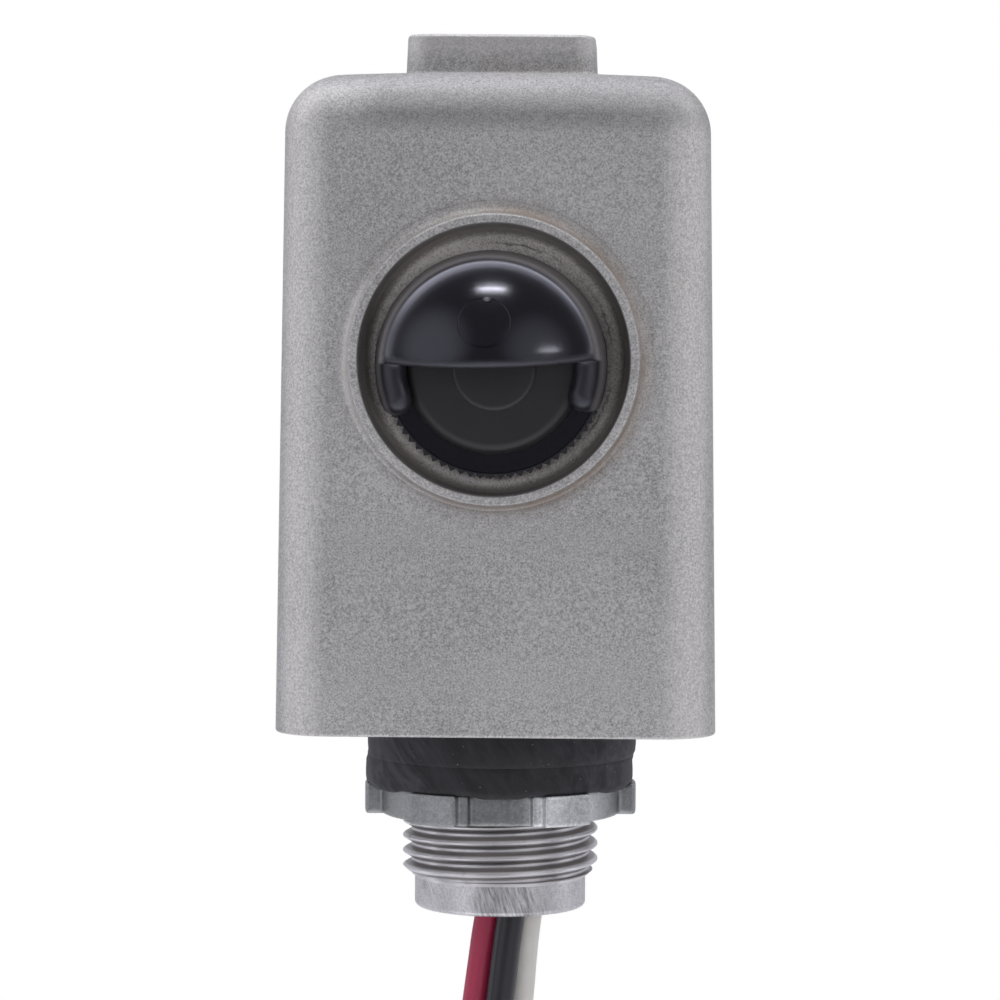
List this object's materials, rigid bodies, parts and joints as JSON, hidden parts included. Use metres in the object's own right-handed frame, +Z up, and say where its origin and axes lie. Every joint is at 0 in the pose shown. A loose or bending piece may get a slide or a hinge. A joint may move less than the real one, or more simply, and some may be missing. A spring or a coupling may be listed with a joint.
{
  "type": "photocell switch",
  "caption": "Stem-mount outdoor photocell switch: cast zinc housing, turning black light hood with a lens, threaded conduit stem with gasket and lock nut, three wire leads.",
  "frame": {"origin": "on the stem's axis, at the top of the bare thread below the lock nut", "axes": "+Z up along the stem towards the housing, the eye and its hood face -Y, +X to the right seen from the front"},
  "size_m": [0.0456, 0.0455, 0.2418],
  "materials": {
    "cast_zinc": "as-cast zinc alloy, tumbled, matt grey",
    "turned_zinc": "bright turned zinc alloy",
    "nut_zinc": "as-cast zinc alloy, bluish",
    "gasket_rubber": "dusty black rubber",
    "seal_rubber": "matt black rubber",
    "hood_plastic": "semi-gloss black moulded plastic",
    "lens_plastic": "smoke-grey moulded plastic",
    "plated_steel": "zinc-plated steel",
    "fibre_paper": "vulcanised fibre paper",
    "phenolic_board": "brown phenolic paper board",
    "brass_strip": "rolled brass strip",
    "contact_silver": "silver contact alloy",
    "bimetal": "rolled bimetal strip",
    "heater_ceramic": "glazed ceramic resistor body",
    "tinned_wire": "tinned copper",
    "holder_plastic": "ivory moulded plastic",
    "cell_face": "epoxy-coated light cell",
    "red_insulation": "crimson wire insulation",
    "black_insulation": "black wire insulation",
    "white_insulation": "warm white wire insulation"
  },
  "bodies": {
    "body": {"housing": "cast_zinc", "stem_base": "turned_zinc", "base_gasket": "seal_rubber", "base_screws": "plated_steel", "stem_gasket": "gasket_rubber", "lock_nut": "nut_zinc", "insulating_liner": "fibre_paper", "switch_board": "phenolic_board", "board_screws": "plated_steel", "line_terminal": "brass_strip", "load_terminal": "brass_strip", "neutral_terminal": "brass_strip", "terminal_rivets": "brass_strip", "blade_bracket": "brass_strip", "blade_clamp": "plated_steel", "clamp_rivet": "plated_steel", "fixed_contact": "contact_silver", "heater": "heater_ceramic", "heater_leads": "tinned_wire", "cell_holder": "holder_plastic", "photocell": "cell_face", "cell_leads": "tinned_wire", "hood_washer": "brass_strip", "red_lead": "red_insulation", "black_lead": "black_insulation", "white_lead": "white_insulation", "lead_conductors": "tinned_wire"},
    "light_hood": {"hood": "hood_plastic", "lens": "lens_plastic", "hood_clip": "plated_steel"},
    "blade": {"bimetal_blade": "bimetal", "moving_contact": "contact_silver"}
  },
  "joints": [
    {"name": "hood_turn", "type": "hinge", "parent": "body", "child": "light_hood", "pos_m": [0, -0.019, 0.0488], "axis": [0, -1, 0], "continuous": true},
    {"name": "blade_flex", "type": "hinge", "parent": "body", "child": "blade", "pos_m": [-0.0052, 0.0062, 0.0526], "axis": [1, 0, 0], "range_deg": [0, 2.5], "stiffness_Nm_per_rad": 0.01, "springref_deg": -2.86}
  ]
}
